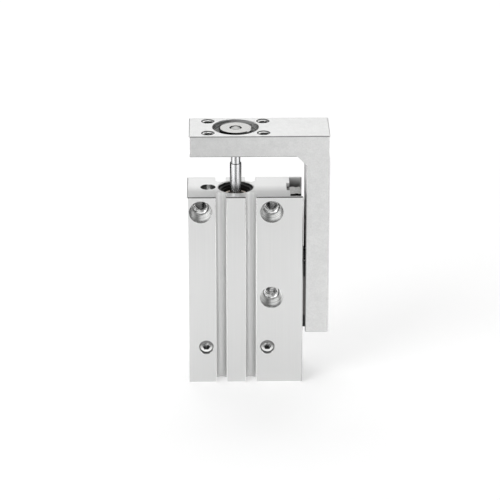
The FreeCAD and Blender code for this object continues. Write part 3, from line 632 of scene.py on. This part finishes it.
def rail_steel():
    """Ground bearing steel, painted dark where the rail's sides lie in the channel's shadow."""
    material, tree, shader = new_material("rail_steel")
    shader.inputs["Metallic"].default_value = 1.0
    place = place_in_mm(tree)
    z = along(tree, place, "Z")
    lines = noise(tree, place, (6, 6, 0.2), 2)
    patches = noise(tree, place, (1.2, 1.2, 1.2), 3)
    look = surface(tree, lines, (0.42, 0.42, 0.412), 0.05, 0.36, 0.06, 0.002)
    look = dimmed(tree, look, spread(tree, patches, 0.85, 1.15))
    sides = maths(
        tree, "MAXIMUM", maths(tree, "GREATER_THAN", z, BODY_TOP - RAIL_END_INSET - FACE_LAYER),
        ramp(tree, z, 30, 50, 1.0, 0.05))
    look = dimmed(tree, look, sides)
    # Painted shade: the strip next to the rail's seat is darker.
    from_seat = maths(tree, "SUBTRACT", along(tree, place, "X"), rail_low.x / MM)
    finish(tree, shader, dimmed(tree, look, ramp(tree, from_seat, 1.0, 1.3, 0.3, 1.0)))
    return material


def polished_rod():
    """Ground and hard-chromed: the grinding runs round the rod, so mirrored light smears along it."""
    material, tree, shader = new_material("polished_rod")
    shader.inputs["Metallic"].default_value = 1.0
    shader.inputs["Anisotropic"].default_value = 0.93
    shader.inputs["Anisotropic Rotation"].default_value = 0.25
    around = tree.nodes.new("ShaderNodeTangent")
    around.direction_type = "RADIAL"
    around.axis = "Z"
    tree.links.new(around.outputs["Tangent"], shader.inputs["Tangent"])
    place = place_in_mm(tree)
    lines = noise(tree, place, (0.4, 0.4, 9), 2)
    look = surface(tree, lines, (0.80, 0.805, 0.815), 0.03, 0.23, 0.02, 0.0003)
    z = along(tree, place, "Z")
    # Painted reflections: dark at the rod's left and right and in a band down its middle, and darker sides
    # on its flats.
    from_bore = maths(tree, "SUBTRACT", along(tree, place, "X"), BORE_X)
    round_side = maths(tree, "ABSOLUTE", from_bore, 0)
    look = dimmed(tree, look, ramp(tree, round_side, 1.35, 1.85, 1.0, 0.35))
    look = dimmed(tree, look, ramp(tree, round_side, 0.15, 0.45, 0.75, 1.0))
    flats = maths(tree, "GREATER_THAN", z, FLATS_END_Z)
    look = overlay(tree, flats, look, dimmed(tree, look, ramp(tree, round_side, 0.9, 1.45, 1.0, 0.25)))
    riveted_end = maths(tree, "GREATER_THAN", z, bushing_high.z / MM - RIVETED_END_HEIGHT)
    end_look = surface(tree, lines, (0.50, 0.50, 0.49), 0.03, 0.3, 0.02, 0.0003)
    look = overlay(tree, riveted_end, look, end_look)
    # A painted shade line marks the step at the end of the flats.
    flats_end = between(tree, z, FLATS_END_Z - FLATS_END_HALF_HEIGHT, FLATS_END_Z + FLATS_END_HALF_HEIGHT)
    shoulder_look = surface(tree, lines, (0.05, 0.05, 0.05), 0.1, 0.3, 0.02, 0.0003)
    look = overlay(tree, flats_end, look, shoulder_look)
    finish(tree, shader, look)
    return material


def plug_steel():
    """Plated steel: painted shade darkens the plugs' faces towards their upper rims and their hexagon
    sockets at top and bottom.
    """
    material, tree, shader = new_material("plug_steel")
    shader.inputs["Metallic"].default_value = 1.0
    place = place_in_mm(tree)
    above_port = maths(tree, "SUBTRACT", along(tree, place, "Z"), PORT_HEIGHT)
    grain = noise(tree, place, (1.5, 1.5, 1.5), 3)
    look = surface(tree, grain, (0.90, 0.90, 0.89), 0.08, 0.18, 0.04, 0.08)
    look = dimmed(tree, look, ramp(tree, above_port, -1.0, 0.6, 1.0, 0.25))
    from_port = distance_from_nearest(tree, place, PORTS, (0, 1, 0))
    behind_face = maths(tree, "GREATER_THAN", along(tree, place, "Y"), body_low.y / MM + PLUG_SUNK + 0.03)
    socket = both(tree, between(tree, from_port, 0, PLUG_SOCKET_RADIUS), behind_face)
    broach_marks = noise(tree, place, (1.1, 0.3, 1.1), 2)
    socket_look = surface(tree, broach_marks, (0.70, 0.70, 0.70), 0.8, 0.25, 0.05, 0.2)
    socket_light = maths(
        tree, "MINIMUM", ramp(tree, above_port, -1.2, -0.6, 0.08, 1.0),
        ramp(tree, above_port, -0.2, 0.6, 1.0, 0.15))
    look = overlay(tree, socket, look, dimmed(tree, socket_look, socket_light))
    finish(tree, shader, look)
    return material


def speckled(name, tone, roughness, metallic=0.0, per_mm=5, depth_mm=0.01):
    """Moulded, oxidised or sintered surface: fine isotropic grain."""
    material, tree, shader = new_material(name)
    shader.inputs["Metallic"].default_value = metallic
    grain = noise(tree, place_in_mm(tree), (per_mm, per_mm, per_mm), 3)
    finish(tree, shader, surface(tree, grain, tone, 0.2, roughness, roughness * 0.15, depth_mm))
    return material


FINISHES = {
    "anodised_body": body_aluminium(),
    "blasted_table": blasted_aluminium(),
    "machined_aluminium": turned_metal("machined_aluminium", (0.72, 0.72, 0.72), 0.3),
    "polished_rod": polished_rod(),
    "guide_steel": rail_steel(),
    "ball_steel": ground_metal("ball_steel", (0.75, 0.76, 0.78), 0.08),
    "bushing_steel": joint_steel(),
    "zinc_steel": plug_steel(),
    "black_oxide_steel": speckled("black_oxide_steel", (0.02, 0.02, 0.021), 0.42, 0.3, 6, 0.006),
    "bronze": cover_bronze(),
    "magnet": speckled("magnet", (0.05, 0.05, 0.055), 0.5, 0.4),
    "black_rubber": speckled("black_rubber", (0.018, 0.018, 0.019), 0.55),
    "urethane": speckled("urethane", (0.30, 0.16, 0.06), 0.4),
    "wear_resin": speckled("wear_resin", (0.70, 0.66, 0.54), 0.5),
    "black_resin": speckled("black_resin", (0.012, 0.012, 0.013), 0.5, 0.0, 7, 0.012),
}
# The guide block's steel is given a dark tone as painted shade between the channel's lips.
FINISH_OF_NODE = {"guide_block": ground_metal("block_steel_painted_shade", (0.13, 0.125, 0.122), 0.4)}
THREAD_FINISHES = {
    "anodised_body": cut_thread("cut_thread_body", 0.75),
    # The table's threads are given a darker tone as painted shade in their holes.
    "blasted_table": cut_thread("cut_thread_table", 0.40),
}


def dress_frame():
    slots = {entry["node"]: entry["material_slot"] for entry in frame["record"]["subparts"]}
    for name, node in frame["nodes"].items():
        for slot in node.material_slots:
            slot.material = FINISH_OF_NODE.get(name, FINISHES[slots[name]])


# ---------------------------------------------------------------- cut threads

STEPS_PER_TURN = 40
THREAD_DEPTH_IN_PITCHES = 0.55
CREST_IN_PITCHES = 0.125
WALL_GAP = 0.01 * MM


def internal_thread(name, mouth, outward, radius, pitch, start, length, body, slot):
    """The ridge of a tapped hole, as one helical strip just inside the hole's wall.

    mouth is where the hole's axis meets the surface, outward the way out of the hole. The thread
    begins start below the mouth and is length long.
    """
    root = radius - WALL_GAP
    crest = radius - THREAD_DEPTH_IN_PITCHES * pitch
    profile = [
        (root, 0.0), (crest, 0.5 - CREST_IN_PITCHES / 2), (crest, 0.5 + CREST_IN_PITCHES / 2), (root, 1.0),
    ]
    turns = length / pitch + 1
    steps = int(turns * STEPS_PER_TURN)
    vertices = []
    for step in range(steps + 1):
        turn = step / STEPS_PER_TURN
        angle = 2 * math.pi * turn
        for profile_radius, share in profile:
            depth = min(max((turn - 1 + share) * pitch, 0), length) + start
            vertices.append((profile_radius * math.cos(angle), profile_radius * math.sin(angle), -depth))
    width = len(profile)
    faces = []
    for step in range(steps):
        for side in range(width - 1):
            corner = step * width + side
            faces.append((corner, corner + width, corner + width + 1, corner + 1))
    mesh = bpy.data.meshes.new(name)
    mesh.from_pydata(vertices, [], faces)
    turn_to_hole = Vector(outward).to_track_quat("Z", "Y").to_matrix().to_4x4()
    mesh.transform(Matrix.Translation(mouth) @ turn_to_hole)
    mesh.materials.append(THREAD_FINISHES[slot])
    for polygon in mesh.polygons:
        polygon.use_smooth = False
    piece = bpy.data.objects.new(name, mesh)
    bpy.context.scene.collection.objects.link(piece)
    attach(piece, body)


M5_RADIUS = 2.5 * MM
M5_PITCH = 0.8 * MM
M4_RADIUS = 2.0 * MM
M4_PITCH = 0.7 * MM
MOUNT_THREAD_START = 5.15 * MM
MOUNT_THREAD_LENGTH = 3.05 * MM
PORT_THREAD_START = 0.1 * MM
PORT_THREAD_LENGTH = 5.4 * MM
TABLE_THREAD_START = 0.3 * MM
ARM_THREAD_LENGTH = 6.9 * MM
SIDE_THREAD_LENGTH = 5.4 * MM


def threads():
    for index, centre in enumerate(body_hole_centres()):
        mouth = Vector((centre.x, body_low.y, centre.z))
        internal_thread(
            f"body_hole_thread_{index}", mouth, (0, -1, 0), M5_RADIUS, M5_PITCH,
            MOUNT_THREAD_START, MOUNT_THREAD_LENGTH, "cylinder", "anodised_body")
    for name in ("port_left", "port_right"):
        centre = Vector(mounts[name]["pos_m"])
        mouth = Vector((centre.x, body_high.y, centre.z))
        internal_thread(
            name + "_thread", mouth, (0, 1, 0), M5_RADIUS, M5_PITCH,
            PORT_THREAD_START, PORT_THREAD_LENGTH, "cylinder", "anodised_body")
    for index, centre in enumerate(corners_of(mounts["table_top_holes"], (1, 0, 0), (0, 1, 0))):
        mouth = Vector((centre.x, centre.y, table_high.z))
        internal_thread(
            f"table_top_thread_{index}", mouth, (0, 0, 1), M4_RADIUS, M4_PITCH,
            TABLE_THREAD_START, ARM_THREAD_LENGTH, "slide", "blasted_table")
    for index, centre in enumerate(corners_of(mounts["table_side_holes"], (0, 1, 0), (0, 0, 1))):
        mouth = Vector((table_high.x, centre.y, centre.z))
        internal_thread(
            f"table_side_thread_{index}", mouth, (1, 0, 0), M4_RADIUS, M4_PITCH,
            TABLE_THREAD_START, SIDE_THREAD_LENGTH, "slide", "blasted_table")


# ---------------------------------------------------------------- studio

FLOOR_GLOW = 0.35
ROOM_LIGHT = 0.40
FLOOR_SIZE = 6.0
FLAG_DISTANCE = 0.09
FLAG_HEIGHTS = (0.018, 0.11)
FLAG_STEPS = 12


def card(name, centre, facing, width, height):
    """A flat rectangle that faces along facing."""
    half_width = width / 2
    half_height = height / 2
    corners = [
        (-half_width, -half_height, 0), (half_width, -half_height, 0),
        (half_width, half_height, 0), (-half_width, half_height, 0),
    ]
    mesh = bpy.data.meshes.new(name)
    mesh.from_pydata(corners, [], [(0, 1, 2, 3)])
    piece = bpy.data.objects.new(name, mesh)
    piece.rotation_mode = "QUATERNION"
    piece.rotation_quaternion = Vector(facing).to_track_quat("Z", "Y")
    piece.location = centre
    bpy.context.scene.collection.objects.link(piece)
    return piece


def seen_directly(tree):
    """1 for rays from the camera, and for rays mirrored or let through by the object."""
    light_path = tree.nodes.new("ShaderNodeLightPath")
    direct = tree.nodes.new("ShaderNodeMath")
    direct.operation = "MAXIMUM"
    tree.links.new(light_path.outputs["Is Camera Ray"], direct.inputs[0])
    tree.links.new(light_path.outputs["Is Glossy Ray"], direct.inputs[1])
    also = tree.nodes.new("ShaderNodeMath")
    also.operation = "MAXIMUM"
    tree.links.new(direct.outputs[0], also.inputs[0])
    tree.links.new(light_path.outputs["Is Transmission Ray"], also.inputs[1])
    return also.outputs[0]


def floor():
    """Pale floor that glows a little, so that it is nearly white and keeps the object's soft shadow."""
    plane = card("floor", (0, 0, body_low.z), (0, 0, 1), FLOOR_SIZE, FLOOR_SIZE)
    material = bpy.data.materials.new("pale_floor")
    material.use_nodes = True
    tree = material.node_tree
    shader = tree.nodes["Principled BSDF"]
    shader.inputs["Base Color"].default_value = (0.86, 0.86, 0.86, 1)
    shader.inputs["Specular IOR Level"].default_value = 0.0
    glow = tree.nodes.new("ShaderNodeMath")
    glow.operation = "MULTIPLY"
    glow.inputs[1].default_value = FLOOR_GLOW
    tree.links.new(seen_directly(tree), glow.inputs[0])
    shader.inputs["Emission Color"].default_value = (1, 1, 1, 1)
    tree.links.new(glow.outputs[0], shader.inputs["Emission Strength"])
    plane.data.materials.append(material)


def world():
    surroundings = bpy.data.worlds.new("studio")
    bpy.context.scene.world = surroundings
    surroundings.use_nodes = True
    tree = surroundings.node_tree
    background = tree.nodes["Background"]
    background.inputs["Color"].default_value = (1, 1, 1, 1)
    strength = tree.nodes.new("ShaderNodeMapRange")
    strength.inputs["To Min"].default_value = ROOM_LIGHT
    strength.inputs["To Max"].default_value = 1.0
    tree.links.new(seen_directly(tree), strength.inputs["Value"])
    tree.links.new(strength.outputs["Result"], background.inputs["Strength"])


def aim(thing, place, target):
    thing.rotation_mode = "QUATERNION"
    thing.location = place
    thing.rotation_quaternion = (Vector(target) - Vector(place)).to_track_quat("-Z", "Y")


def soft_light(name, azimuth, elevation, distance, size, power):
    """A softbox that looks at the object from so many degrees round from the front and up."""
    data = bpy.data.lights.new(name, "AREA")
    data.shape = "RECTANGLE"
    data.size, data.size_y = size
    data.energy = power
    lamp = bpy.data.objects.new(name, data)
    middle = (Vector(cad_box[0]) + Vector(cad_box[1])) / 2
    across = math.radians(azimuth)
    up = math.radians(elevation)
    away = Vector((math.sin(across) * math.cos(up), -math.cos(across) * math.cos(up), math.sin(up)))
    aim(lamp, middle + away * distance, middle)
    bpy.context.scene.collection.objects.link(lamp)


def lights():
    soft_light("key_light", -48, 32, 0.95, (0.55, 0.7), 3.2)
    soft_light("fill_light", 55, 22, 1.0, (0.5, 0.7), 1.2)
    soft_light("back_light", 180, 50, 0.95, (1.1, 0.6), 3.0)


def black_flag(name, azimuths, distance, heights, tone):
    """A curved dark card round the bore axis, seen only in reflections."""
    vertices = []
    for step in range(FLAG_STEPS + 1):
        across = math.radians(azimuths[0] + (azimuths[1] - azimuths[0]) * step / FLAG_STEPS)
        for height in heights:
            x = bore_axis.x + math.sin(across) * distance
            y = bore_axis.y - math.cos(across) * distance
            vertices.append((x, y, height))
    faces = [(2 * step, 2 * step + 2, 2 * step + 3, 2 * step + 1) for step in range(FLAG_STEPS)]
    mesh = bpy.data.meshes.new(name)
    mesh.from_pydata(vertices, [], faces)
    piece = bpy.data.objects.new(name, mesh)
    bpy.context.scene.collection.objects.link(piece)
    only_mirrored(piece, tone)


def flags():
    black_flag("flag_left", (-165, -93), FLAG_DISTANCE, FLAG_HEIGHTS, 0.01)
    black_flag("flag_right", (95, 165), FLAG_DISTANCE, FLAG_HEIGHTS, 0.01)
    black_flag("flag_front", (-22, 22), 0.14, (0.010, 0.050), 0.05)
    ceiling = card("flag_ceiling", (0, -0.10, 0.55), (0, 0, -1), 1.2, 0.55)
    only_mirrored(ceiling, 0.02)
    for side, middle in (("left", (-0.19, -0.03, 0.001)), ("right", (0.19, -0.03, 0.001))):
        reflector = card("floor_reflector_" + side, middle, (0, 0, 1), 0.28, 0.25)
        only_mirrored(reflector, 1.45)
    horizon = card("flag_horizon", (0, 0.30, 0.135), (0, -1, 0), 0.9, 0.21)
    only_mirrored(horizon, 0.5)


def only_mirrored(piece, strength):
    """Give a stage card a plain glow that is seen only in reflections."""
    material = bpy.data.materials.new(piece.name)
    material.use_nodes = True
    shader = material.node_tree.nodes["Principled BSDF"]
    shader.inputs["Base Color"].default_value = (0, 0, 0, 1)
    shader.inputs["Specular IOR Level"].default_value = 0.0
    shader.inputs["Emission Color"].default_value = (1, 1, 1, 1)
    shader.inputs["Emission Strength"].default_value = strength
    piece.data.materials.append(material)
    piece.visible_camera = False
    piece.visible_diffuse = False
    piece.visible_transmission = False
    piece.visible_shadow = False


CAMERA_AZIMUTH = -1.0
CAMERA_ELEVATION = 22.4
CAMERA_DISTANCE = 0.900
CAMERA_LENS = 185.2
CAMERA_TARGET = (-0.00273, 0, 0.04632)


def camera():
    data = bpy.data.cameras.new("camera")
    data.sensor_width = 36.0
    data.lens = CAMERA_LENS
    data.clip_start = 0.05
    data.clip_end = 20
    viewer = bpy.data.objects.new("camera", data)
    bpy.context.scene.collection.objects.link(viewer)
    across = math.radians(CAMERA_AZIMUTH)
    up = math.radians(CAMERA_ELEVATION)
    back = Vector((math.sin(across) * math.cos(up), -math.cos(across) * math.cos(up), math.sin(up)))
    viewer.location = Vector(CAMERA_TARGET) + back * CAMERA_DISTANCE
    viewer.rotation_mode = "QUATERNION"
    viewer.rotation_quaternion = (-back).to_track_quat("-Z", "Y")
    bpy.context.scene.camera = viewer


# ---------------------------------------------------------------- put together

dress_frame()
threads()
floor()
world()
lights()
flags()
camera()
bpy.context.scene.view_settings.view_transform = "Standard"
